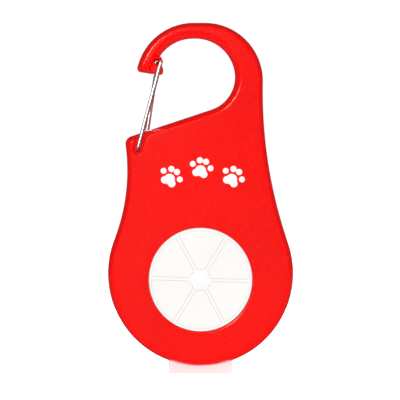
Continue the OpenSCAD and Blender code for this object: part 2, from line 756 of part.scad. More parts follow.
module gate_wire() {
    a = [pivot[0], wire_front_y + wire_end / 2, pivot[1]];
    b = [pivot[0], wire_front_y, pivot[1]];
    c = [gate_top[0], wire_front_y, gate_top[1]];
    d = [rear_top[0], wire_back_y, rear_top[1]];
    e = [rear_pivot[0], wire_back_y, rear_pivot[1]];
    f = [rear_pivot[0], wire_back_y - wire_end / 2, rear_pivot[1]];
    path = concat([a], bend(a, b, c, wire_bend, 4), bend(b, c, d, wire_bend, 6), bend(c, d, e, wire_bend, 6),
        bend(d, e, f, wire_bend, 4), [f]);
    color("gainsboro")
    union() {
        tube(path, wire_r - 0.01, [cos(leg_tilt), 0, -sin(leg_tilt)], 16);
        bar(pivot[0], pivot[1], wire_r, wire_front_y + wire_bend, wire_front_y + wire_end);
        bar(rear_pivot[0], rear_pivot[1], wire_r, wire_back_y - wire_end, wire_back_y - wire_bend);
    }
}

// ---- name tab ----
module name_tab() {
    corner = 0.5;
    color("white")
    difference() {
        slab(tab_front_y, tab_back_y)
            union() {
                translate([-tab_w / 2, tab_bottom + corner])
                    square([tab_w, tab_top - tab_bottom - corner]);
                translate([-tab_w / 2 + corner, tab_bottom])
                    square([tab_w - 2 * corner, corner + 0.1]);
                for (s = [-1, 1])
                    translate([s * (tab_w / 2 - corner), tab_bottom + corner])
                        circle(r = corner);
                translate([-tab_head_w / 2, tab_head_z])
                    square([tab_head_w, tab_head_h]);
            }
        // shallow seat of the label
        box([-label_w / 2 - 0.1, tab_front_y - over, label_z - 0.1],
            [label_w / 2 + 0.1, tab_front_y + label_t, label_z + label_h + 0.1]);
    }
}
label_w = tab_w - 3;
label_h = tab_travel - 2;
label_z = tab_bottom + tab_show + 0.9;
label_t = 0.15;
module tab_label() {
    color("whitesmoke")
    box([-label_w / 2, tab_front_y, label_z], [label_w / 2, tab_front_y + label_t, label_z + label_h]);
}

guide_gap = 0.25;         // play of the tab under the guide and between its rails
guide_in = tab_head_w / 2 + guide_gap;
guide_rail = 1.4;
guide_top = tab_top - 0.1;
guide_bottom = tab_stop_z + 2.6;
guide_t = 0.9;
guide_front_y = tab_front_y - guide_gap - guide_t;
guide_screw_x = guide_in + guide_rail + 1.4;
guide_screw_z = guide_bottom + 1.9;
guide_ear_t = 1.2;
module tab_guide() {
    color("darkgray")
    difference() {
        union() {
            box([-guide_in - guide_rail, guide_front_y, guide_bottom],
                [guide_in + guide_rail, guide_front_y + guide_t, guide_top]);
            for (s = [-1, 1]) {
                box([s > 0 ? guide_in : -guide_in - guide_rail, guide_front_y, guide_bottom],
                    [s > 0 ? guide_in + guide_rail : -guide_in, inner_back_y, guide_top]);
                // ear for the screw
                bar(s * guide_screw_x, guide_screw_z, 1.7, inner_back_y - guide_ear_t, inner_back_y);
            }
        }
        // seat of the friction pad
        box([-pad_w / 2 - touch, guide_front_y - over, pad_z - touch],
            [pad_w / 2 + touch, guide_front_y + guide_t + over, pad_z + pad_h + touch]);
        for (s = [-1, 1])
            bar(s * guide_screw_x, guide_screw_z, small_screw_d / 2 + small_clear, inner_back_y - 2,
                inner_back_y + over);
        // the tab's way through between the rails
        box([-guide_in, guide_front_y + guide_t, guide_bottom - over],
            [guide_in, inner_back_y + over, guide_top + over]);
    }
}
pad_w = 8;
pad_h = 2.4;
pad_z = guide_bottom + 2.4;
module tab_friction_pad() {
    color([0.25, 0.25, 0.27])
    box([-pad_w / 2, guide_front_y - 0.2, pad_z], [pad_w / 2, tab_front_y - touch, pad_z + pad_h]);
}

module tab_guide_screws() {
    color("silver")
    for (s = [-1, 1])
        small_screw(s * guide_screw_x, guide_screw_z, inner_back_y - guide_ear_t,
            guide_ear_t + small_screw_bite);
}

// ---- printed mark: a trail of three plain paw prints ----
print_t = 0.08;
print_z = button_z + 27.75;
paw_gap = 8.3;
paw_tilt = 14;
module paw_plan() {
    // heel pad
    circle(r = 1.45);
    for (s = [-1, 1])
        translate([s * 1.05, -0.75])
            circle(r = 1.0);
    // toes
    for (s = [-1, 1]) {
        translate([s * 0.85, 2.65])
            circle(r = 0.82);
        translate([s * 2.45, 1.25])
            circle(r = 0.78);
    }
}
module front_print() {
    color("white")
    slab(front_y - print_t, front_y)
        for (i = [-1:1])
            translate([i * paw_gap, print_z + (i == 0 ? 1.4 : -0.9)])
                rotate(i == 0 ? -paw_tilt : -paw_tilt * 2)
                    paw_plan();
}

front_case();
rear_case();
case_screws();
button_cap();
button_pads();
button_plunger();
bumper_ring();
click_leaf();
leaf_carrier();
leaf_clamp();
strike_plate();
strike_rivets();
carrier_screws();
gate_wire();
name_tab();
tab_label();
tab_guide();
tab_guide_screws();
tab_friction_pad();
front_print();
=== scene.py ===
# %% [markdown]
# # A clicker trainer with its own snap hook
# The real thing is a palm-sized dog-training clicker: two moulded halves of red plastic that form a
# flat pear with a hook on top, a spring-wire gate, a big round push button and a white name tab that
# slides out at the bottom. The frame already holds every part at its true size. Here each part that
# shows gets a finer mesh and a finish of its own, in the same place.

import json
from math import asin, atan2, cos, degrees, pi, radians, sin, sqrt

import bpy
from mathutils import Matrix, Vector


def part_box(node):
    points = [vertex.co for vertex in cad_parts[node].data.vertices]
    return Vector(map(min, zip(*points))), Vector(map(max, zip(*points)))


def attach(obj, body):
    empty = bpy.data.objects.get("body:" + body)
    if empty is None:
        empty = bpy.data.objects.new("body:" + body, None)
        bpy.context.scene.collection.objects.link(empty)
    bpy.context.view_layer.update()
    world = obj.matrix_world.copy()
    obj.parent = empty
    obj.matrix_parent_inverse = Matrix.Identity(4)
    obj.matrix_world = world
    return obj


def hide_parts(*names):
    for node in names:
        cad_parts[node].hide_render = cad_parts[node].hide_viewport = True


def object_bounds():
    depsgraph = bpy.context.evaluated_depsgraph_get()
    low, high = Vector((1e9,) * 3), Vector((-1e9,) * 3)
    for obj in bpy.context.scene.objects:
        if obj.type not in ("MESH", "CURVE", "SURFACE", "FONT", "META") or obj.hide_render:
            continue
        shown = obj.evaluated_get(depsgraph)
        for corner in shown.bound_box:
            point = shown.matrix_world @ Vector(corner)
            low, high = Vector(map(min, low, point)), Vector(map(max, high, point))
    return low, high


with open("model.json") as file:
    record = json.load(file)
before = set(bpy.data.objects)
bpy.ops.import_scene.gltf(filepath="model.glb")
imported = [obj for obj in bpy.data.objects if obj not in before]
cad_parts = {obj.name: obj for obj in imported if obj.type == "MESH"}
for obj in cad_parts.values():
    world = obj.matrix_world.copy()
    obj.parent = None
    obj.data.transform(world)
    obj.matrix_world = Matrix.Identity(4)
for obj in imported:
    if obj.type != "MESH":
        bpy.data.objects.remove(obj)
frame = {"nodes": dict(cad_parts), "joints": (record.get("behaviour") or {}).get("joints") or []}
nodes = frame["nodes"]
cad_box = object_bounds()
MM = 0.001
print("frame:", len(nodes), "parts,", [round(v / MM, 1) for v in cad_box[1] - cad_box[0]], "mm")

# %% [markdown]
# ## Helpers
# An operator works on everything that is selected, so `pick` first drops the selection and then takes
# one piece. `in_edit` wraps the steps that are done in edit mode, and `finish_with` adds a modifier
# and applies it, which keeps the mesh itself as the result. Three functions make nearly every shape:
# `slab` extrudes a flat plan, `turned` spins a profile, and `loft` joins rings of points.


# %% Selecting and editing
def pick(piece):
    if bpy.context.object and bpy.context.object.mode != "OBJECT":
        bpy.ops.object.mode_set(mode="OBJECT")
    bpy.ops.object.select_all(action="DESELECT")
    piece.select_set(True)
    bpy.context.view_layer.objects.active = piece


def in_edit(piece, *steps):
    pick(piece)
    bpy.ops.object.mode_set(mode="EDIT")
    bpy.ops.mesh.select_all(action="SELECT")
    for step in steps:
        step()
    bpy.ops.object.mode_set(mode="OBJECT")


def face_out():
    bpy.ops.mesh.select_all(action="SELECT")
    bpy.ops.mesh.normals_make_consistent(inside=False)


def close_doubles():
    bpy.ops.mesh.select_all(action="SELECT")
    bpy.ops.mesh.remove_doubles(threshold=0.0005 * MM)


def finish_with(piece, kind, **settings):
    pick(piece)
    modifier = piece.modifiers.new(kind.title(), kind)
    for key, value in settings.items():
        setattr(modifier, key, value)
    bpy.ops.object.modifier_apply(modifier=modifier.name)


# %% Making plain shapes, all in millimetres
def make(name, points, faces=(), edges=()):
    mesh = bpy.data.meshes.new(name)
    mesh.from_pydata([Vector(p) * MM for p in points], edges, faces)
    piece = bpy.data.objects.new(name, mesh)
    bpy.context.scene.collection.objects.link(piece)
    return piece


def slab(name, plan, y_from, y_to):
    """A flat plan in x and z, filled and then extruded along Y."""
    piece = make(name, [(x, y_from, z) for x, z in plan], [tuple(range(len(plan)))])
    pull = {"value": (0, (y_to - y_from) * MM, 0)}
    in_edit(piece, lambda: bpy.ops.mesh.extrude_region_move(TRANSFORM_OT_translate=pull), face_out)
    return piece


def turned(name, profile, x, z, steps=96):
    """A profile of (radius, y) points, spun round an axis along Y through x and z."""
    chain = [(i, i + 1) for i in range(len(profile) - 1)]
    piece = make(name, [(x + r, y, z) for r, y in profile], edges=chain)
    about = dict(center=(x * MM, 0, z * MM), axis=(0, 1, 0), angle=2 * pi, steps=steps)
    in_edit(piece, lambda: bpy.ops.mesh.spin(**about), close_doubles, face_out)
    return piece


def bar(name, x, z, r, y_from, y_to, steps=48):
    return turned(name, [(0, y_from), (r, y_from), (r, y_to), (0, y_to)], x, z, steps)


def loft(name, rings):
    """Closed rings with as many points each, joined one after another and capped at both ends."""
    count, top = len(rings[0]), len(rings) - 1
    walls = [(k * count + i, k * count + (i + 1) % count, (k + 1) * count + (i + 1) % count,
              (k + 1) * count + i) for k in range(top) for i in range(count)]
    caps = [tuple(range(count)), tuple(range(top * count, (top + 1) * count))]
    piece = make(name, [p for ring in rings for p in ring], walls + caps)
    in_edit(piece, face_out)
    return piece


# %% Joining, copying, cutting and softening
def merge(pieces):
    """Joins separate pieces into the first one, without changing their shapes."""
    pick(pieces[0])
    for piece in pieces[1:]:
        piece.select_set(True)
    if len(pieces) > 1:
        bpy.ops.object.join()
    return pieces[0]


def copied(piece, moves):
    """One copy for every move, each with a mesh of its own, joined in place of the first piece."""
    copies = []
    for move in moves:
        copy = piece.copy()
        copy.data = piece.data.copy()
        copy.data.transform(move)
        bpy.context.scene.collection.objects.link(copy)
        copies.append(copy)
    bpy.data.objects.remove(piece)
    return merge(copies)


def cut(piece, *cutters, keep="DIFFERENCE"):
    tool = merge(list(cutters))
    finish_with(piece, "BOOLEAN", operation=keep, object=tool, solver="EXACT", use_self=len(cutters) > 1)
    bpy.data.objects.remove(tool)


def rounded(piece, width, segments=3, angle=35):
    finish_with(
        piece, "BEVEL", width=width * MM, segments=segments, limit_method="ANGLE",
        angle_limit=radians(angle), harden_normals=False,
    )


def smooth(piece, angle=32):
    pick(piece)
    bpy.ops.object.shade_smooth_by_angle(angle=radians(angle))
    finish_with(piece, "WEIGHTED_NORMAL", keep_sharp=True)


def stand_in(piece, body, slot, finish, *replaced):
    """Gives a finished piece its body and its finish, and hides the CAD nodes that it stands for. The slot
    is not used.
    """
    piece.data.materials.clear()
    piece.data.materials.append(finish)
    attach(piece, body)
    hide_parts(*replaced)
    print(piece.name, len(piece.data.polygons), "faces, rides on", body)


# %% [markdown]
# ## Shared shader groups
# Several plastics have the same kinds of detail: a slow drift of tone across the moulding, the fine
# grain that a spark-eroded mould leaves, and faint scuffs from handling. Each is a node group with
# named inputs, built once, so every material can use it with its own values. The groups put out only
# colours, masks and heights; each material keeps its own Principled shader.


# %% Building node groups
def new_group(name, inputs, outputs):
    group = bpy.data.node_groups.new(name, "ShaderNodeTree")
    for label, (kind, value) in inputs.items():
        socket = group.interface.new_socket(label, in_out="INPUT", socket_type=kind)
        socket.default_value = value
    for label, kind in outputs.items():
        group.interface.new_socket(label, in_out="OUTPUT", socket_type=kind)
    return group, group.nodes.new("NodeGroupInput").outputs, group.nodes.new("NodeGroupOutput").inputs


def add(tree, kind, links=None, **settings):
    """One node. Settings are its own properties; links feed its inputs by name with sockets or values."""
    made = tree.nodes.new(kind)
    for key, value in settings.items():
        setattr(made, key, value)
    for key, value in (links or {}).items():
        if isinstance(value, bpy.types.NodeSocket):
            tree.links.new(value, made.inputs[key])
        else:
            made.inputs[key].default_value = value
    return made


def remap(tree, value, low, high, to_low=0.0, to_high=1.0, smooth_step=True):
    links = {"Value": value, "From Min": low, "From Max": high, "To Min": to_low, "To Max": to_high}
    kind = "SMOOTHSTEP" if smooth_step else "LINEAR"
    return add(tree, "ShaderNodeMapRange", links, interpolation_type=kind).outputs["Result"]


def blend(tree, factor, a, b):
    made = add(tree, "ShaderNodeMix", {"Factor": factor}, data_type="RGBA")
    for key, value in ((6, a), (7, b)):
        if isinstance(value, bpy.types.NodeSocket):
            tree.links.new(value, made.inputs[key])
        else:
            made.inputs[key].default_value = value
    return made.outputs[2]


def math_node(tree, operation, a, b):
    return add(tree, "ShaderNodeMath", {0: a, 1: b}, operation=operation).outputs[0]


# %% Tone drift
NUMBER, COLOUR, VECTOR = "NodeSocketFloat", "NodeSocketColor", "NodeSocketVector"

drift_group, got, put = new_group(
    "tone_drift",
    {"Light": (COLOUR, (1, 1, 1, 1)), "Deep": (COLOUR, (0.5, 0.5, 0.5, 1)), "Scale": (NUMBER, 60.0)},
    {"Colour": COLOUR, "Drift": NUMBER},
)
place = add(drift_group, "ShaderNodeTexCoord").outputs["Object"]
clouds = add(drift_group, "ShaderNodeTexNoise", {"Vector": place, "Scale": got["Scale"], "Detail": 3.0})
drift = remap(drift_group, clouds.outputs["Fac"], 0.3, 0.7)
drift_group.links.new(drift, put["Drift"])
drift_group.links.new(blend(drift_group, drift, got["Light"], got["Deep"]), put["Colour"])

# %% Mould grain
grain_group, got, put = new_group(
    "mould_grain", {"Scale": (NUMBER, 4000.0)}, {"Height": NUMBER, "Fleck": NUMBER}
)
place = add(grain_group, "ShaderNodeTexCoord").outputs["Object"]
pits = add(grain_group, "ShaderNodeTexNoise",
           {"Vector": place, "Scale": got["Scale"], "Detail": 2.0, "Roughness": 0.6})
coarse_scale = math_node(grain_group, "MULTIPLY", got["Scale"], 0.45)
crests = add(grain_group, "ShaderNodeTexNoise", {"Vector": place, "Scale": coarse_scale, "Detail": 1.0})
height = math_node(grain_group, "ADD", pits.outputs["Fac"], crests.outputs["Fac"])
grain_group.links.new(height, put["Height"])
grain_group.links.new(remap(grain_group, height, 1.12, 1.3), put["Fleck"])

# %% Handling scuffs
scuff_group, got, put = new_group(
    "handling_scuffs", {"Scale": (NUMBER, 900.0), "Amount": (NUMBER, 0.5)}, {"Scuff": NUMBER}
)
place = add(scuff_group, "ShaderNodeTexCoord").outputs["Object"]
lie = add(scuff_group, "ShaderNodeMapping",
          {"Vector": place, "Rotation": (0.2, 0.6, 0.3), "Scale": (1, 1, 0.06)})
streaks = add(scuff_group, "ShaderNodeTexNoise",
              {"Vector": lie.outputs[0], "Scale": got["Scale"], "Detail": 2.0})
patches = add(scuff_group, "ShaderNodeTexNoise", {"Vector": place, "Scale": 90.0})
where = remap(scuff_group, patches.outputs["Fac"], 0.45, 0.7)
lines = remap(scuff_group, streaks.outputs["Fac"], 0.6, 0.72)
mask = math_node(scuff_group, "MULTIPLY", where, lines)
scuff_group.links.new(math_node(scuff_group, "MULTIPLY", mask, got["Amount"]), put["Scuff"])
print("shared groups:", [g.name for g in bpy.data.node_groups])

# %% [markdown]
# Two more groups are masks. One tells the flat faces of a moulding from its edge by how near a point is
# to the front or the back, and the other draws the fine lines that a metal keeps from being drawn
# through a die or ground.

# %% Which part of the moulding is the flat face
face_group, got, put = new_group(
    "flat_face",
    {"Front": (NUMBER, -0.012), "Back": (NUMBER, 0.0), "Soft": (NUMBER, 0.0002)},
    {"Face": NUMBER},
)
place = add(face_group, "ShaderNodeTexCoord").outputs["Object"]
across = add(face_group, "ShaderNodeSeparateXYZ", {"Vector": place}).outputs["Y"]
front_end = math_node(face_group, "ADD", got["Front"], got["Soft"])
back_start = math_node(face_group, "SUBTRACT", got["Back"], got["Soft"])
near_front = remap(face_group, across, got["Front"], front_end, 1.0, 0.0)
near_back = remap(face_group, across, back_start, got["Back"])
face_group.links.new(math_node(face_group, "MAXIMUM", near_front, near_back), put["Face"])

# %% Lines drawn along a metal
drawn_group, got, put = new_group(
    "drawn_lines",
    {"Vector": (VECTOR, (0, 0, 0)), "Scale": (NUMBER, 9000.0)},
    {"Height": NUMBER, "Streak": NUMBER},
)
pull = add(drawn_group, "ShaderNodeMapping", {"Vector": got["Vector"], "Scale": (1, 1, 0.02)})
lines = add(drawn_group, "ShaderNodeTexNoise",
            {"Vector": pull.outputs[0], "Scale": got["Scale"], "Detail": 2.0})
drawn_group.links.new(lines.outputs["Fac"], put["Height"])
drawn_group.links.new(remap(drawn_group, lines.outputs["Fac"], 0.35, 0.65), put["Streak"])
print("mask groups:", face_group.name, "and", drawn_group.name)

# %% [markdown]
# ## Finishes
# The case is a saturated red plastic. Its flat faces come from a spark-eroded mould, so they are matt
# with a fine grain whose lighter red flecks are painted sparkle, while the sloping edge band was polished
# in the mould and is glossier. The band's red is also painted brighter than the face's: painted light that
# lifts the shade on the sides turned away from the lights. That is one material with a mask, not two,
# because both belong to one moulding.


# %% A material with a Principled shader, and a plastic made from the shared groups
def new_finish(name, **constants):
    material = bpy.data.materials.new(name)
    material.use_nodes = True
    tree = material.node_tree
    shader = next(n for n in tree.nodes if n.type == "BSDF_PRINCIPLED")
    for key, value in constants.items():
        shader.inputs[key.replace("_", " ")].default_value = value
    return material, tree, shader


def use(tree, group, links=None):
    return add(tree, "ShaderNodeGroup", links, node_tree=group).outputs


def bump(tree, shader, height, distance, strength=1.0):
    links = {"Height": height, "Distance": distance * MM, "Strength": strength}
    made = add(tree, "ShaderNodeBump", links)
    tree.links.new(made.outputs["Normal"], shader.inputs["Normal"])


def moulded(name, light, deep, smoothest, roughest, grain=4500.0, depth=0.006, scuffs=0.3, **constants):
    """A plain moulded plastic: tone drift, fine grain and faint scuffs."""
    material, tree, shader = new_finish(name, **constants)
    tone = use(tree, drift_group, {"Light": light, "Deep": deep})
    mould = use(tree, grain_group, {"Scale": grain})
    worn = use(tree, scuff_group, {"Amount": scuffs})
    tree.links.new(tone["Colour"], shader.inputs["Base Color"])
    rough = math_node(tree, "ADD", remap(tree, tone["Drift"], 0.0, 1.0, smoothest, roughest),
                      math_node(tree, "MULTIPLY", worn["Scuff"], 0.25))
    tree.links.new(rough, shader.inputs["Roughness"])
    bump(tree, shader, mould["Height"], depth)
    return material


def metal(name, light, deep, tilt, smoothest, roughest, scale=9000.0, depth=0.002):
    """A drawn or ground metal: lines along one direction, in colour, gloss and height."""
    material, tree, shader = new_finish(name, Metallic=1.0)
    place = add(tree, "ShaderNodeTexCoord").outputs["Object"]
    along = add(tree, "ShaderNodeMapping", {"Vector": place, "Rotation": tilt}).outputs[0]
    drawn = use(tree, drawn_group, {"Vector": along, "Scale": scale})
    tree.links.new(blend(tree, drawn["Streak"], light, deep), shader.inputs["Base Color"])
    tree.links.new(remap(tree, drawn["Streak"], 0.0, 1.0, smoothest, roughest), shader.inputs["Roughness"])
    bump(tree, shader, drawn["Height"], depth)
    return material


# %% The red case
red, red_tree, red_shader = new_finish(
    "red_case_plastic", Specular_IOR_Level=0.5, IOR=1.5, Specular_Tint=(1.0, 0.45, 0.36, 1)
)
red_light, red_deep = (0.85, 0.0006, 0.0008, 1), (0.78, 0.0004, 0.0006, 1)
# Both colours on the next line are painted light: the band's brighter red lifts the shade on the sloping
# sides, and the lighter fleck red paints the grain's sparkle.
red_band_painted_bright, red_sparkle_paint = (0.98, 0.0006, 0.0008, 1), (1.0, 0.006, 0.004, 1)
tone = use(red_tree, drift_group, {"Light": red_light, "Deep": red_deep, "Scale": 45.0})
front_y, back_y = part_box("front_case")[0].y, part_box("rear_case")[1].y
flat = use(red_tree, face_group, {"Front": front_y, "Back": back_y, "Soft": 0.06 * MM})["Face"]
spark = use(red_tree, grain_group, {"Scale": 3600.0})
worn = use(red_tree, scuff_group, {"Amount": 0.2})
lit_fleck = math_node(red_tree, "MULTIPLY", spark["Fleck"], flat)
# Where the grain peaks on the flat face the red turns lighter: a painted sparkle, on top of the real glint
# in the roughness.
sparkle_paint_amount = math_node(red_tree, "MULTIPLY", lit_fleck, 0.22)
colour = blend(red_tree, sparkle_paint_amount, tone["Colour"], red_sparkle_paint)
# The band takes the brighter red: painted light against the shade on its sloping sides.
red_tree.links.new(blend(red_tree, flat, red_band_painted_bright, colour), red_shader.inputs["Base Color"])
base_rough = remap(red_tree, flat, 0.0, 1.0, 0.2, 0.24)
glint = math_node(red_tree, "MULTIPLY", lit_fleck, 0.06)
rough = math_node(red_tree, "ADD", math_node(red_tree, "ADD", base_rough, glint),
                  math_node(red_tree, "MULTIPLY", worn["Scuff"], 0.12))
red_tree.links.new(rough, red_shader.inputs["Roughness"])
grain_height = math_node(red_tree, "MULTIPLY", spark["Height"], remap(red_tree, flat, 0.0, 1.0, 0.03, 1.0))
bump(red_tree, red_shader, grain_height, 0.003)
print("red case:", len(red_tree.nodes), "nodes, flat at", [round(y / MM, 2) for y in (front_y, back_y)])

# %% [markdown]
# The other finishes are plainer. The plastics, the rubbers, the print and the paper share one recipe,
# each with its own tones, gloss and grain, and the metals share another, with fine lines along the way
# each was drawn or ground. One flat colour for each would be quicker, but a real surface is never quite
# even, and its small changes are what tells plastic from rubber or steel.

# %% The other finishes
white_button = moulded("white_button_plastic", (0.86, 0.858, 0.856, 1), (0.835, 0.833, 0.83, 1), 0.32, 0.4)
cream_pad = moulded("cream_pad_rubber", (0.835, 0.826, 0.8, 1), (0.805, 0.796, 0.77, 1),
                    0.5, 0.62, depth=0.008)
# The tab's white is painted pale and cool: painted light that lifts the shade it lies in and offsets the red
# light that the case throws onto it.
tab_white_painted_cool = moulded("tab_plastic", (0.92, 0.97, 0.97, 1), (0.89, 0.94, 0.94, 1), 0.34, 0.44)
print_ink = moulded("print_ink", (0.87, 0.87, 0.87, 1), (0.84, 0.84, 0.84, 1),
                    0.42, 0.55, grain=3000.0, depth=0.01)
dark_plastic = moulded("dark_inner_plastic", (0.06, 0.062, 0.066, 1), (0.04, 0.041, 0.045, 1), 0.45, 0.58)
black_rubber = moulded("black_rubber", (0.025, 0.025, 0.026, 1), (0.015, 0.015, 0.015, 1),
                       0.7, 0.85, depth=0.015)
label_paper = moulded("label_paper", (0.86, 0.85, 0.8, 1), (0.78, 0.77, 0.71, 1),
                      0.8, 0.92, grain=2200.0, depth=0.02)
plain_tilt, sideways = (0.0, 0.0, 0.0), (0, pi / 2, 0)
zinc_screw = metal("zinc_plated_screw", (0.82, 0.83, 0.85, 1), (0.66, 0.67, 0.7, 1), plain_tilt,
                   0.34, 0.48, scale=5000.0)
spring_steel = metal("spring_steel", (0.6, 0.62, 0.65, 1), (0.42, 0.44, 0.48, 1), sideways,
                     0.22, 0.36)
brass = metal("brass_rivet", (0.86, 0.64, 0.3, 1), (0.7, 0.5, 0.2, 1), plain_tilt, 0.25, 0.38)
print("finishes:", len(bpy.data.materials))

# %% [markdown]
# ## The outline of the case
# The case is a pear with a hook. Its outline is made only of arcs and one straight sill, each tangent
# to the next. One could inset a single outline for the sloping edge, but at the tight corners of the
# nose an inset folds over itself. So the outline is a function of the inset: every arc keeps its
# centre and only its radius changes, and the corners stay clean at any inset.

# %% Sizes of the outline, in millimetres
body_r = 25.0
left_flank_r, left_flank_angle = 51.2, 158.7
right_flank_r = 125.0
hook_r, hook_z = 15.7, 51.85
hook_left, hook_right = Vector((-1.8, hook_z)), Vector((1.15, hook_z))
opening_r, opening_z = 10.72, hook_z + 0.75
opening_left, opening_right = Vector((-2.03, opening_z)), Vector((-1.4, opening_z))
opening_low_r = 9.28
sill_angle, sill_point = 18.35, Vector((0, opening_z - 9.43))
nose_angle, nose_point = 9.0, Vector((-14.4, hook_z + 2.1))
nose_r, nose_inner_r, shoulder_r = 1.0, 0.4, 2.2
least_r = 0.05


# %% Arcs that touch each other
def ray(angle):
    return Vector((cos(radians(angle)), sin(radians(angle))))


def heading(a, b):
    return degrees(atan2(b.y - a.y, b.x - a.x))


def arc(centre, r, start, end, count, last=False):
    return [centre + r * ray(start + (end - start) * i / count) for i in range(count + last)]


def on_line_and_circle(point, line_angle, rise_wanted, centre, r, side):
    """At a height over a sloping line and at a distance from a centre: where a corner's centre lies."""
    along, up = ray(line_angle), ray(line_angle + 90)
    rise = rise_wanted - up.dot(centre - point)
    return centre + side * sqrt(r * r - rise * rise) * along + rise * up


def touching_centre(r_low, r_high, high, r):
    """Centre of the flank that touches the body circle and the hook's circle from outside."""
    a, b, gap = r_low + r, r_high + r, high.length
    along = (a * a - b * b + gap * gap) / (2 * gap)
    unit = high / gap
    return along * unit + sqrt(a * a - along * along) * Vector((unit.y, -unit.x))


middle = Vector((0, 0))
flank_left = (body_r + left_flank_r) * ray(left_flank_angle)
flank_right = touching_centre(body_r, hook_r, hook_right, right_flank_r)
opening_low = on_line_and_circle(sill_point, sill_angle, opening_low_r, opening_right,
                                 opening_r - opening_low_r, 1)
print("flank centres at", [round(v, 2) for v in (*flank_left, *flank_right)])


# %% The outline at any inset
def outline(d):
    shoulder = on_line_and_circle(sill_point, sill_angle, -max(shoulder_r, d), flank_left,
                                  left_flank_r + max(shoulder_r, d), 1)
    outer = on_line_and_circle(nose_point, -nose_angle, max(nose_r, d), hook_left,
                               hook_r - max(nose_r, d), -1)
    inner = on_line_and_circle(nose_point, -nose_angle, max(nose_inner_r, d), opening_left,
                               opening_r + max(nose_inner_r, d), -1)
    body_end = 360 + heading(middle, flank_right)
    hook_start = heading(flank_right, hook_right) % 360
    nose_down = 270 - nose_angle
    outer_turn, inner_turn = heading(hook_left, outer) % 360, heading(opening_left, inner) % 360
    low_turn, shoulder_end = heading(opening_right, opening_low), heading(shoulder, flank_left) % 360
    return [
        *arc(middle, body_r - d, left_flank_angle, body_end, 110),
        *arc(flank_right, right_flank_r + d, body_end - 180, hook_start, 24),
        *arc(hook_right, hook_r - d, hook_start - 180, 90, 40, last=True),
        *arc(hook_left, hook_r - d, 90, outer_turn, 36),
        *arc(outer, max(nose_r - d, least_r), outer_turn, nose_down, 8, last=True),
        *arc(inner, max(nose_inner_r - d, least_r), nose_down, 180 + inner_turn, 6),
        *arc(opening_left, opening_r + d, inner_turn, 90, 30, last=True),
        *arc(opening_right, opening_r + d, 90, low_turn, 30),
        *arc(opening_low, opening_low_r + d, low_turn, sill_angle - 90, 30, last=True),
        *arc(shoulder, max(shoulder_r - d, least_r), 90 + sill_angle, shoulder_end, 12),
        *arc(flank_left, left_flank_r + d, heading(flank_left, shoulder), heading(flank_left, middle), 24),
    ]


print("outline:", len(outline(0)), "points")

# %% [markdown]
# ## Half a case
# Both halves are loft bodies: rings of the outline, each a little further in and further out from the
# parting plane. The side leans slightly, as a moulding must to leave its mould, then rounds over into
# the flat face; the rounding is what catches the thin line of light. A tiny chamfer at the parting
# plane leaves the hairline that one sees between two real halves.

# %% Rings of the edge band, as (inset, height over the parting plane)
case_depth = -front_y / MM
half_depth = case_depth / 2
parting_y = -half_depth
edge_in, edge_r, band_slope = 1.9, 0.8, 25.0
side_height = half_depth - edge_r * (1 - sin(radians(band_slope)))
side_lean = edge_in - edge_r * cos(radians(band_slope))
chamfer = 0.1
band = [(chamfer, 0.0)]
for f in (0.02, 0.2, 0.4, 0.6, 0.8, 0.9):
    band.append((side_lean * f * f, side_height * f))
for step in range(11):
    lean = radians(band_slope + (90 - band_slope) * step / 10)
    band.append((edge_in - edge_r * cos(lean), half_depth - edge_r + edge_r * sin(lean)))


def half_shell(name, toward):
    return loft(name, [[(p.x, parting_y + toward * height, p.y) for p in outline(inset)]
                       for inset, height in band])


front_shell = half_shell("front_shell", -1)
rear_shell = half_shell("rear_shell", 1)
print("shells:", len(front_shell.data.polygons), "faces each, sides lean", round(side_lean, 2), "mm")

# %% [markdown]
# ## The nose
# The flat face stops just short of the nose's end, where a shallow sloping facet begins, and a tiny pip
# above it marks where the plastic was fed into the mould. Small marks like these are what make a
# moulding look real, so both are shaped in the mesh: the facet with a wedge, the pip with a low dome.
# They come before the larger cuts, because a boolean is at its most reliable on a plain closed body.

# %% Facet and feed pip
over = 0.5
facet_plan = [(-14.6, 56.95), (-11.9, 55.9), (-12.1, 54.9), (-15.6, 55.25)]
facet_depths = [0.28, 0.28, 0.03, 0.03]
top_corners = [(x, -case_depth - over, z) for x, z in facet_plan]
low_corners = [(x, -case_depth + deep, z) for (x, z), deep in zip(facet_plan, facet_depths)]
sides = [(i, (i + 1) % 4, 4 + (i + 1) % 4, 4 + i) for i in range(4)]
wedge = make("wedge", top_corners + low_corners, [(0, 1, 2, 3), (4, 5, 6, 7), *sides])
in_edit(wedge, lambda: bpy.ops.mesh.quads_convert_to_tris(), face_out)
cut(front_shell, wedge)
pip_x, pip_z, pip_root = -13.55, 57.75, -case_depth + 0.2
pip_profile = [(0, -case_depth - 0.075), (0.2, -case_depth - 0.06), (0.36, -case_depth),
               (0.4, pip_root), (0, pip_root)]
cut(front_shell, turned("pip", pip_profile, pip_x, pip_z, 24), keep="UNION")

# %% [markdown]
# ## What is moulded and cut into the halves
# The inside is hollowed to an even wall, with a post for each of the five screws. The nose carries the
# catch that the wire snaps behind. Every opening is cut with a tool of its own shape, and a tool with
# a flared end leaves the softly rounded rim of the button's hole and of the gate's pockets. The halves
# are cleaned and shaded once, after the last cut.

# %% The plan of the hollow
wall_side, wall_front, wall_back, hollow_top = 3.4, 1.6, 1.8, 26.5
inner_front_y, inner_back_y = -case_depth + wall_front, -wall_back
screw_places = [(-16.6, -10.9), (16.6, -10.9), (-12.2, 22.3), (12.2, 22.3), (12.45, 40.0)]


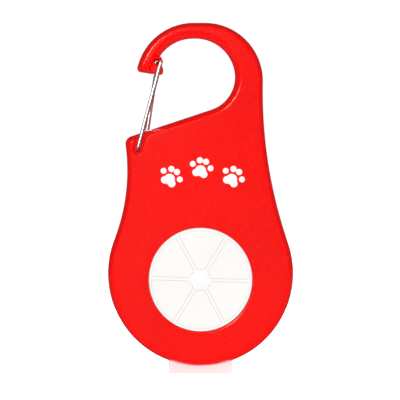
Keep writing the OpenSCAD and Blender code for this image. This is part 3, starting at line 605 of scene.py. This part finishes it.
def hollow_plan(d, top):
    right_end = 180 - degrees(asin((top - flank_right.y) / (right_flank_r + d)))
    left_start = degrees(asin((top - flank_left.y) / (left_flank_r + d)))
    body_end = 360 + heading(middle, flank_right)
    return [
        *arc(middle, body_r - d, left_flank_angle, body_end, 72),
        *arc(flank_right, right_flank_r + d, body_end - 180, right_end, 12, last=True),
        *arc(flank_left, left_flank_r + d, left_start, heading(flank_left, middle), 12),
    ]


print("walls:", wall_front, "mm in front,", wall_back, "mm behind,", wall_side, "mm at the side")

# %% Where the gate's two legs stand, and the plan of the catch
wire_r, wire_sink = 0.55, 0.75
front_leg, rear_offset, top_offset = Vector((6.29, 23.75)), 1.5, 1.2
gate_joint = next(j for j in frame["joints"] if j["name"] == "gate_swing")
gate_opening = gate_joint["range_deg"][1]
pivot = Vector((gate_joint["pos_m"][0], gate_joint["pos_m"][2])) / MM
rear_pivot = pivot + Vector((rear_offset, 0))
gate_top = pivot + front_leg
rear_top = gate_top - Vector((top_offset, 0))


def catch_plan():
    """The hook that the wire snaps behind: a tongue on the nose with a seat for the crossing part."""
    right, low, horn = gate_top.x + 0.4, nose_point.y - 0.25, gate_top.y + 1.25
    root, seat_left = nose_point.x + 1, rear_top.x - wire_r - 0.15
    seat_top, seat_low = gate_top.y + wire_r + 0.1, gate_top.y - wire_r - 0.3
    return [(root, low + 0.6), (right - 0.8, low), (right - 0.15, low + 0.3), (right, low + 0.9),
            (right, seat_low - 0.6), (seat_left, seat_low + 0.1), (seat_left, seat_top),
            (right - 0.3, seat_top), (right - 0.3, horn - 0.2), (right - 0.5, horn), (root, horn)]


print("gate from", [round(v, 2) for v in pivot], "to", [round(v, 2) for v in gate_top])

# %% Hollow, catch, posts and notch in both halves
catch_y, catch_edge, notch_room = wire_sink + wire_r + 0.4, 0.12, 0.12
hairline, post_root = 0.02, 0.2
for shell, toward, wall, post_r in (
    (front_shell, -1, inner_front_y, 2.1), (rear_shell, 1, inner_back_y, 2.7)
):
    cut(shell, slab("hollow", hollow_plan(wall_side, hollow_top), wall, parting_y - toward * over))
    far = parting_y + toward * (half_depth - catch_y)
    catch = slab("catch", catch_plan(), far, parting_y + toward * hairline)
    rounded(catch, catch_edge, 2, 50)
    cut(shell, catch, keep="UNION")
    root, post_end = wall + toward * post_root, parting_y + toward * hairline
    posts = [bar("post", x, z, post_r, root, post_end) for x, z in screw_places]
    cut(shell, *posts, keep="UNION")
    cut(shell, bar("notch", rear_top.x, rear_top.y, wire_r + notch_room, parting_y - toward * over,
                   parting_y + toward * (half_depth + over)))
    print(shell.name, "hollowed, with catch and posts:", len(shell.data.polygons), "faces")

# %% [markdown]
# ## The gate's pockets
# The foot of each leg lies in a pocket that widens on the side to which the gate opens, so that the
# wire swings freely in it. Its rim is softly rounded. A bevel could round it after the cut, but so near
# to the case's own edge it would have to find its way between the two, so the tool is flared instead:
# it grows through a quarter round just before it meets the face.

# %% The plan of a pocket
pocket_r, pocket_depth, pocket_reach, pocket_rim = 1.3, 1.6, 12.0, 0.25


def pocket_plan(at, top):
    """A slot along the resting leg, wider on the side that the leg opens to."""
    ahead = (top - at).normalized()
    tilt = degrees(atan2(ahead.x, ahead.y))
    right = ray(-tilt)
    opened, opened_right = ray(90 - tilt - gate_opening), ray(-tilt - gate_opening)
    side = wire_r + 0.2
    widens_at = (pocket_r - side * cos(radians(gate_opening))) / sin(radians(gate_opening))
    return [*arc(at, pocket_r, -180 - tilt, -tilt, 24, last=True),
            at + pocket_r * right + widens_at * ahead,
            at + side * opened_right + pocket_reach * opened,
            at - pocket_r * right + pocket_reach * ahead]


# %% A tool with a flared end
def grown(plan, by):
    """The same convex plan with every side moved out."""
    out = []
    for i, p in enumerate(plan):
        u, v = (p - plan[i - 1]).normalized(), (plan[(i + 1) % len(plan)] - p).normalized()
        nu, nv = Vector((u.y, -u.x)), Vector((v.y, -v.x))
        out.append(p + (nu + nv) * (by / (1 + nu.dot(nv))))
    return out


def flared_tool(name, plan, face_y, toward, depth, rim):
    """A cutter with the plan below the face, which widens through a quarter round to the face."""
    round_over = [(rim - rim * cos(radians(a)), rim - rim * sin(radians(a))) for a in range(0, 91, 15)]
    steps = [(0.0, depth), *round_over, (rim, -over)]
    return loft(name, [[(q.x, face_y - toward * deep, q.y) for q in grown(plan, out)]
                       for out, deep in steps])


# %% Both pockets
front_pocket, rear_pocket = pocket_plan(pivot, gate_top), pocket_plan(rear_pivot, rear_top)
cut(front_shell, flared_tool("pocket", front_pocket, -case_depth, -1, pocket_depth, pocket_rim))
cut(rear_shell, flared_tool("pocket", rear_pocket, 0, 1, pocket_depth, pocket_rim))
print("gate pockets cut; the gate opens by", gate_opening, "degrees")

# %% The hole for the front end of the wire, and the slot in which the rear end slides
wire_end, end_room, hole_room, slot_room = 2.6, 0.3, 0.06, 0.15
front_wire_y, rear_wire_y = -case_depth + wire_sink, -wire_sink
hole_end = front_wire_y + wire_end + end_room
cut(front_shell, bar("pivot_hole", pivot.x, pivot.y, wire_r + hole_room, -case_depth - over, hole_end))
swing = radians(gate_opening)
rear_end = rear_pivot + rear_offset * Vector((cos(swing) - 1, -sin(swing)))
slot_line = (rear_end - rear_pivot).normalized()
slot_turn = degrees(atan2(slot_line.y, slot_line.x))
slot_r = wire_r + slot_room
slot_plan = [*arc(rear_end, slot_r, slot_turn - 90, slot_turn + 90, 16, last=True),
             *arc(rear_pivot, slot_r, slot_turn + 90, slot_turn + 270, 16, last=True)]
cut(rear_shell, slab("rear_slot", slot_plan, rear_wire_y - wire_end - end_room, over))
print("the rear end slides", round((rear_end - rear_pivot).length, 2), "mm")

# %% [markdown]
# ## Holes for the button, the screws and the tab
# The button's hole has a broad soft rim for the thumb, and each screw stands in a sunk well with a small
# chamfer. Both are round, so their tools are turned from a profile that has the rim in it. The tab's
# slot is a plain cut through the bottom of the rear half.

# %% The button's hole
button_box = [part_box("button_cap")[i] / MM for i in (0, 1)]
button_z = (button_box[0].z + button_box[1].z) / 2
button_r, hole_gap, rim = 13.85, 0.1, 0.6
hole_r = button_r + hole_gap
rim_round = [(hole_r + rim - rim * cos(radians(a)), -case_depth + rim - rim * sin(radians(a)))
             for a in range(0, 91, 10)]
hole_profile = [(0, inner_front_y + over), (hole_r, inner_front_y + over), *rim_round,
                (hole_r + rim, -case_depth - over), (0, -case_depth - over)]
cut(front_shell, turned("button_hole", hole_profile, 0, button_z, 160))
print("button hole:", 2 * hole_r, "mm wide, at z", round(button_z, 2))

# %% The screws' holes
screw_r, head_r, head_h, head_seat, screw_length = 1.1, 2.1, 1.5, 0.6, 8.2
tip_room, shank_hole_r, well_r, well_rim = 0.2, screw_r + 0.15, head_r + 0.2, 0.25
sink_y = -head_seat - head_h
well = [(0, parting_y - over), (shank_hole_r, parting_y - over), (shank_hole_r, sink_y), (well_r, sink_y),
        (well_r, -well_rim), (well_r + well_rim, 0), (well_r + well_rim, over), (0, over)]
for x, z in screw_places:
    hole_tip = sink_y - screw_length - tip_room
    cut(front_shell, bar("thread_hole", x, z, screw_r, hole_tip, parting_y + over, 24))
    cut(rear_shell, turned("screw_well", well, x, z, 48))
print("screw holes:", len(screw_places))

# %% The tab's slot
tab_box = [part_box("name_tab")[i] / MM for i in (0, 1)]
tab_half, tab_play, slot_reach = 8.8, 0.25, 3
slot_low, slot_high = -body_r - over, -body_r + wall_side + slot_reach
slot_half = tab_half + tab_play
slot_outline = [(-slot_half, slot_low), (slot_half, slot_low), (slot_half, slot_high),
                (-slot_half, slot_high)]
cut(rear_shell, slab("tab_slot", slot_outline, tab_box[0].y - tab_play, tab_box[1].y + tab_play))
print("tab slot:", 2 * slot_half, "mm wide")

# %% Clean and shade the halves
for shell in (front_shell, rear_shell):
    print(shell.name, "cut out:", len(shell.data.polygons), "faces")
    in_edit(shell, close_doubles)
    smooth(shell)
stand_in(front_shell, "case", "case", red, "front_case")
stand_in(rear_shell, "case", "case", red, "rear_case")

# %% [markdown]
# ## The push button
# The button is a white cap with six soft pads in it, like slices of a pie, with thin ribs between them.
# The cap is turned from one profile and gets a seat for each pad. One pad is drawn from its four
# rounded corners, softened with a bevel, and then copied round the centre.

# %% Cap
cap_front, cap_back = button_box[0].y, button_box[1].y
flange_h, stop_gap, flange_edge = 1.0, 0.03, 0.1
flange_r, flange_front, flange_back = button_box[1].x, cap_back - flange_h, cap_back - stop_gap
edge, skin, bowl_r, hub_r, socket_r, socket_deep = 0.22, 1.7, button_r - 1.4, 3.1, 2.2, 0.9
rim_edge = [(button_r - edge + edge * sin(radians(a)), cap_front + edge - edge * cos(radians(a)))
            for a in range(0, 91, 15)]
cap_profile = [(0, cap_front), *rim_edge, (button_r, flange_front), (flange_r - flange_edge, flange_front),
               (flange_r, flange_front + flange_edge), (flange_r, flange_back), (bowl_r, flange_back),
               (bowl_r, cap_front + skin), (hub_r, cap_front + skin), (hub_r, cap_back),
               (socket_r, cap_back), (socket_r, cap_back - socket_deep), (0, cap_back - socket_deep)]
push_button = turned("push_button", cap_profile, 0, button_z, 192)

# %% One pad, its seat, and the copies
pad_count, rib_w, ring_w, pad_hub, inner_corner, outer_corner = 6, 0.88, 0.73, 2.75, 0.8, 0.3
rib_turn, pad_seat, seat_gap = -1.7, 0.5, 0.05
sector = 360 / pad_count


def pad_plan(grow):
    """A slice between two ribs of even width, with a straight inner end and the rim's curve outside."""
    outer, half = button_r - ring_w, sector / 2
    rise = rib_w / 2 + inner_corner
    near = Vector(((pad_hub + inner_corner - rise * sin(radians(half))) / cos(radians(half)), rise))
    far = near.length * ray(sector - degrees(atan2(near.y, near.x)))
    reach = outer - outer_corner
    side = degrees(asin((rib_w / 2 + outer_corner) / reach))
    return [*arc(far, inner_corner + grow, sector + 90, 180 + half, 8),
            *arc(near, inner_corner + grow, 180 + half, 270, 8, last=True),
            *arc(reach * ray(side), outer_corner + grow, -90, side, 6, last=True),
            *arc(middle, outer + grow, side + 0.6, sector - side - 0.6, 40, last=True),
            *arc(reach * ray(sector - side), outer_corner + grow, sector - side, sector + 90, 6, last=True)]


# each turn is anticlockwise from the front, which is clockwise about +Y
centre = Matrix.Translation((0, 0, button_z * MM))
pad_moves = [centre @ Matrix.Rotation(-radians(rib_turn + k * sector), 4, "Y") for k in range(pad_count)]
seat = slab("seat", pad_plan(seat_gap), cap_front - over, cap_front + pad_seat)
cut(push_button, copied(seat, pad_moves))
rounded(push_button, 0.06, 2, 60)
smooth(push_button, 40)
stand_in(push_button, "button", "button", white_button, "button_cap")

pads_box = [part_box("button_pads")[i] / MM for i in (0, 1)]
pad = slab("pad", pad_plan(0), pads_box[0].y, pads_box[1].y)
rounded(pad, 0.05, 2, 60)
soft_pads = copied(pad, pad_moves)
soft_pads.name = "soft_pads"
smooth(soft_pads, 40)
stand_in(soft_pads, "button", "pad", cream_pad, "button_pads")

# %% [markdown]
# ## The gate
# The gate is one length of polished spring wire. It rises from a hole in the front half, crosses behind
# the catch and goes down into the rear half. A curve with a round section is the natural way to make
# bent wire: the path has straight runs and rounded corners, and it is turned into a mesh at the end.

# %% Bending the wire
bend_r, bend_steps = 1.0, 14
wire_tilt = degrees(atan2(gate_top.x - pivot.x, gate_top.y - pivot.y))


def corner(a, b, c):
    start, end = b + (a - b).normalized() * bend_r, b + (c - b).normalized() * bend_r
    fractions = [i / bend_steps for i in range(bend_steps + 1)]
    return [(1 - t) ** 2 * start + 2 * t * (1 - t) * b + t * t * end for t in fractions]


def at(plan_point, y):
    return Vector((plan_point.x, y, plan_point.y))


stops = [at(pivot, front_wire_y + wire_end), at(pivot, front_wire_y), at(gate_top, front_wire_y),
         at(rear_top, rear_wire_y), at(rear_pivot, rear_wire_y), at(rear_pivot, rear_wire_y - wire_end)]
path = [stops[0]]
for before, here, after in zip(stops, stops[1:], stops[2:]):
    path += corner(before, here, after)
path.append(stops[-1])
wire_curve = bpy.data.curves.new("gate", "CURVE")
wire_curve.dimensions = "3D"
wire_curve.bevel_depth, wire_curve.bevel_resolution, wire_curve.use_fill_caps = wire_r * MM, 6, True
spline = wire_curve.splines.new("POLY")
spline.points.add(len(path) - 1)
for point, place in zip(spline.points, path):
    point.co = (*(place * MM), 1)
gate = bpy.data.objects.new("gate", wire_curve)
bpy.context.scene.collection.objects.link(gate)
pick(gate)
bpy.ops.object.convert(target="MESH")
gate = bpy.context.object
in_edit(gate, close_doubles, face_out)
smooth(gate, 50)
along_wire = (0, -radians(wire_tilt), 0)
wire_metal = metal("polished_wire", (0.88, 0.87, 0.86, 1), (0.74, 0.73, 0.72, 1), along_wire,
                   0.3, 0.38, scale=5000.0, depth=0.0006)
stand_in(gate, "gate", "wire", wire_metal, "gate_wire")
print("wire:", len(path), "path points, leg tilted by", round(wire_tilt, 1), "degrees")

# %% [markdown]
# ## The name tab
# The tab is a flat strip with a wider head that keeps it from falling out. Only its lower end shows,
# so its edges are softened, and the paper label sits in a shallow seat that shows when it is pulled out.

# %% Tab with its head, label seat and soft edges
corner_r, head_half, head_low = 0.6, tab_box[1].x, tab_box[1].z - 1.5
low, high = tab_box[0].z, tab_box[1].z
tab_plan = [*arc(Vector((-tab_half + corner_r, low + corner_r)), corner_r, 180, 270, 6, last=True),
            *arc(Vector((tab_half - corner_r, low + corner_r)), corner_r, 270, 360, 6, last=True),
            (tab_half, head_low), (head_half, head_low), (head_half, high), (-head_half, high),
            (-head_half, head_low), (-tab_half, head_low)]
pull_tab = slab("pull_tab", tab_plan, tab_box[0].y, tab_box[1].y)
label_box = [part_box("tab_label")[i] / MM for i in (0, 1)]
label_room = 0.1
seat_left, seat_right = label_box[0].x - label_room, label_box[1].x + label_room
seat_low, seat_high = label_box[0].z - label_room, label_box[1].z + label_room
label_seat = [(seat_left, seat_low), (seat_right, seat_low), (seat_right, seat_high), (seat_left, seat_high)]
rounded(pull_tab, 0.22, 3, 50)
cut(pull_tab, slab("label_seat", label_seat, tab_box[0].y - over, label_box[1].y))
smooth(pull_tab, 40)
stand_in(pull_tab, "tab", "tab", tab_white_painted_cool, "name_tab")

# %% [markdown]
# ## The screws
# Five pan-head screws hold the halves together, each sunk in its well at the back. One is turned from
# a profile with a domed head, its cross recess is cut with two crossed wedges, and the rest are copies.

# %% One screw and its copies
head_back, head_front = -head_seat, -head_seat - head_h
tip_y = head_front - screw_length
shank_r, point_r, point_length = screw_r - 0.01, screw_r - 0.4, 0.5
crown_r, dome_r = head_r * 0.55, head_r * 0.85
screw_profile = [(0, head_back), (crown_r, head_back - 0.03), (dome_r, head_back - 0.25),
                 (head_r, head_back - 0.7), (head_r, head_front), (shank_r, head_front),
                 (shank_r, tip_y + point_length), (point_r, tip_y), (0, tip_y)]
screw = turned("screw", screw_profile, 0, 0, 48)
blade, slot_deep = head_r * 0.13, 0.7
for long, wide in ((crown_r, blade), (blade, crown_r)):
    recess = slab("recess", [(-long, -wide), (long, -wide), (long, wide), (-long, wide)],
                  head_back - slot_deep, head_back + over)
    cut(screw, recess)
screw_set = copied(screw, [Matrix.Translation((x * MM, 0, z * MM)) for x, z in screw_places])
screw_set.name = "screw_set"
smooth(screw_set, 35)
stand_in(screw_set, "case", "screw", zinc_screw, "case_screws")

# %% [markdown]
# ## Parts that keep their own mesh
# The print and the click mechanism inside already have the right shape, so each keeps its mesh and only
# gets a finish.

# %% Finishes of the kept parts
kept = {
    "front_print": print_ink, "button_plunger": tab_white_painted_cool, "bumper_ring": black_rubber,
    "click_leaf": spring_steel, "leaf_carrier": dark_plastic, "leaf_clamp": zinc_screw,
    "strike_plate": spring_steel, "strike_rivets": brass, "carrier_screws": zinc_screw,
    "tab_label": label_paper, "tab_guide": dark_plastic, "tab_guide_screws": zinc_screw,
    "tab_friction_pad": black_rubber,
}
for name, finish in kept.items():
    mesh = nodes[name].data
    mesh.materials.clear()
    mesh.materials.append(finish)
print("kept parts:", len(kept))

# %% [markdown]
# ## Floor, light and camera
# A light can brighten a surface, be mirrored in it, or both, and the eight soft lights are told which.
# The key, the low and the back light only brighten: mirrored in the flat face, they would wash out its
# deep red. The sheen and the edge light are only mirrored: they lay a soft haze on the face and a thin
# bright line on the rounded edge. The top, left and right light do both. For the same reason the floor
# and the surroundings are white to the eye and dark in a reflection. The floor lies low enough for the
# tab to slide out above it. A long lens straight ahead keeps the shape flat.

# %% Floor
low, high = cad_box
tab_room = 12 * MM
floor_z = low.z - tab_room
bpy.ops.object.select_all(action="DESELECT")
bpy.ops.mesh.primitive_plane_add(size=6, location=(0, 0, floor_z))
floor = bpy.context.object
floor.name = "floor"
floor_finish, floor_tree, floor_shader = new_finish("pale_floor", Roughness=0.9, Specular_IOR_Level=0.1)
pale, dim, glow_seen, glow_bounced = (0.85, 0.85, 0.85, 1), (0.05, 0.05, 0.05, 1), 0.93, 0.53
path = add(floor_tree, "ShaderNodeLightPath").outputs
floor_tone = blend(floor_tree, path["Is Glossy Ray"], pale, dim)
floor_tree.links.new(floor_tone, floor_shader.inputs["Base Color"])
to_camera = math_node(floor_tree, "MULTIPLY", path["Is Camera Ray"], glow_seen)
to_object = math_node(floor_tree, "MULTIPLY", path["Is Diffuse Ray"], glow_bounced)
shine = math_node(floor_tree, "MAXIMUM", to_camera, to_object)
glow = add(floor_tree, "ShaderNodeEmission", {"Color": (1, 1, 1, 1), "Strength": shine})
both = add(floor_tree, "ShaderNodeAddShader", {0: floor_shader.outputs[0], 1: glow.outputs[0]})
output = next(n for n in floor_tree.nodes if n.type == "OUTPUT_MATERIAL")
floor_tree.links.new(both.outputs[0], output.inputs["Surface"])
floor.data.materials.append(floor_finish)
print("floor:", round(tab_room / MM, 1), "mm below the case")

# %% World
world = bpy.data.worlds.new("studio")
bpy.context.scene.world = world
world.use_nodes = True
world_tree = world.node_tree
backdrop = next(n for n in world_tree.nodes if n.type == "BACKGROUND")
backdrop.inputs["Color"].default_value = (1, 1, 1, 1)
sky_lights, sky_mirrored, sky_seen = 0.6, 0.03, 1.05
path = add(world_tree, "ShaderNodeLightPath").outputs
unseen = remap(world_tree, path["Is Glossy Ray"], 0.0, 1.0, sky_lights, sky_mirrored)
seen = math_node(world_tree, "MULTIPLY", path["Is Camera Ray"], sky_seen)
world_tree.links.new(math_node(world_tree, "MAXIMUM", unseen, seen), backdrop.inputs["Strength"])
output = next(n for n in world_tree.nodes if n.type == "OUTPUT_WORLD")
world_tree.links.new(backdrop.outputs[0], output.inputs["Surface"])
print("world:", world.name, "with", len(world_tree.nodes), "nodes")


# %% Lights
def soft_light(name, spot, size, watts, aim, mirrored=True, lighting=True):
    """A rectangle of light, never seen itself, that may be mirrored, may brighten, or may do both."""
    lamp = bpy.data.lights.new(name, "AREA")
    lamp.shape, lamp.size, lamp.size_y, lamp.energy = "RECTANGLE", size[0], size[1], watts
    holder = bpy.data.objects.new(name, lamp)
    holder.location = spot
    holder.rotation_euler = (Vector(aim) - Vector(spot)).to_track_quat("-Z", "Y").to_euler()
    holder.visible_glossy, holder.visible_diffuse, holder.visible_camera = mirrored, lighting, False
    bpy.context.scene.collection.objects.link(holder)


aim = (low + high) / 2
soft_light("key_light", (-0.3, -0.5, 0.5), (0.3, 0.3), 0.35, aim, mirrored=False)
soft_light("low_light", (0.0, -0.5, -0.015), (0.4, 0.02), 0.5, aim, mirrored=False)
soft_light("sheen_light", (-0.055, -0.35, 0.106), (0.04, 0.04), 0.09, aim, lighting=False)
soft_light("edge_light", (-0.19, -0.32, 0.21), (0.12, 0.12), 1.7, aim, lighting=False)
soft_light("top_light", (0.05, -0.26, 0.42), (0.4, 0.08), 0.2, aim)
soft_light("left_light", (-0.4, -0.3, 0.12), (0.05, 0.4), 0.2, aim)
soft_light("right_light", (0.42, -0.28, 0.16), (0.05, 0.4), 0.25, aim)
soft_light("back_light", (0.05, 0.6, 0.08), (0.4, 0.4), 2.0, aim, mirrored=False)

# %% Camera
view_centre = Vector((-0.15, 19.75)) * MM
view_width, lens, sensor = 108 * MM, 200.0, 36.0
distance = view_width * lens / sensor
camera_data = bpy.data.cameras.new("camera")
camera_data.lens, camera_data.sensor_width = lens, sensor
camera_data.clip_start = 0.01
camera = bpy.data.objects.new("camera", camera_data)
camera.location = (view_centre.x, parting_y * MM - distance, view_centre.y)
camera.rotation_euler = (pi / 2, 0, 0)
bpy.context.scene.collection.objects.link(camera)
bpy.context.scene.camera = camera
bpy.context.scene.view_settings.view_transform = "Standard"
print("camera stands", round(distance, 3), "m from the middle of the case")
